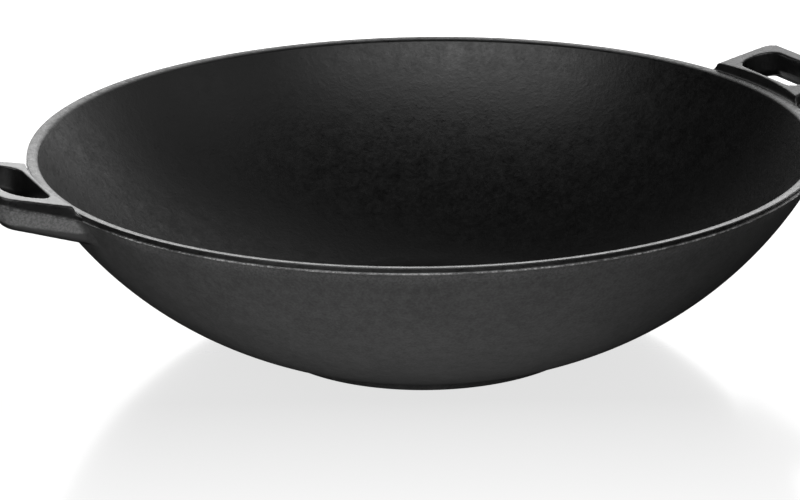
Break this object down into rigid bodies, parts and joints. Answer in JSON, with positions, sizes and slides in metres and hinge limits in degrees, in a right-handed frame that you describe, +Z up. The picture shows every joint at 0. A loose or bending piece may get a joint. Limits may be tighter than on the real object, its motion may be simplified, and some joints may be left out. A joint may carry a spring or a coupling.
{
  "type": "cast iron wok",
  "caption": "Round-sided cast iron wok with a flat foot, a crowned rim lip and raised loop handles on opposite sides.",
  "frame": {"origin": "centre of the foot's flat underside, on the surface the wok stands on", "axes": "+X along the line through both handles, +Z up out of the bowl's mouth"},
  "size_m": [0.4298, 0.37, 0.1072],
  "materials": {
    "bowl_iron": "matt black seasoned sand casting",
    "foot_iron": "matt black, rubbed on the underside",
    "lip_iron": "smoothed satin black",
    "handle_iron": "satin black with a rough parting line"
  },
  "bodies": {
    "root": {"bowl": "bowl_iron", "foot_pad": "foot_iron", "rim_lip": "lip_iron", "left_handle": "handle_iron", "right_handle": "handle_iron"}
  },
  "joints": []
}
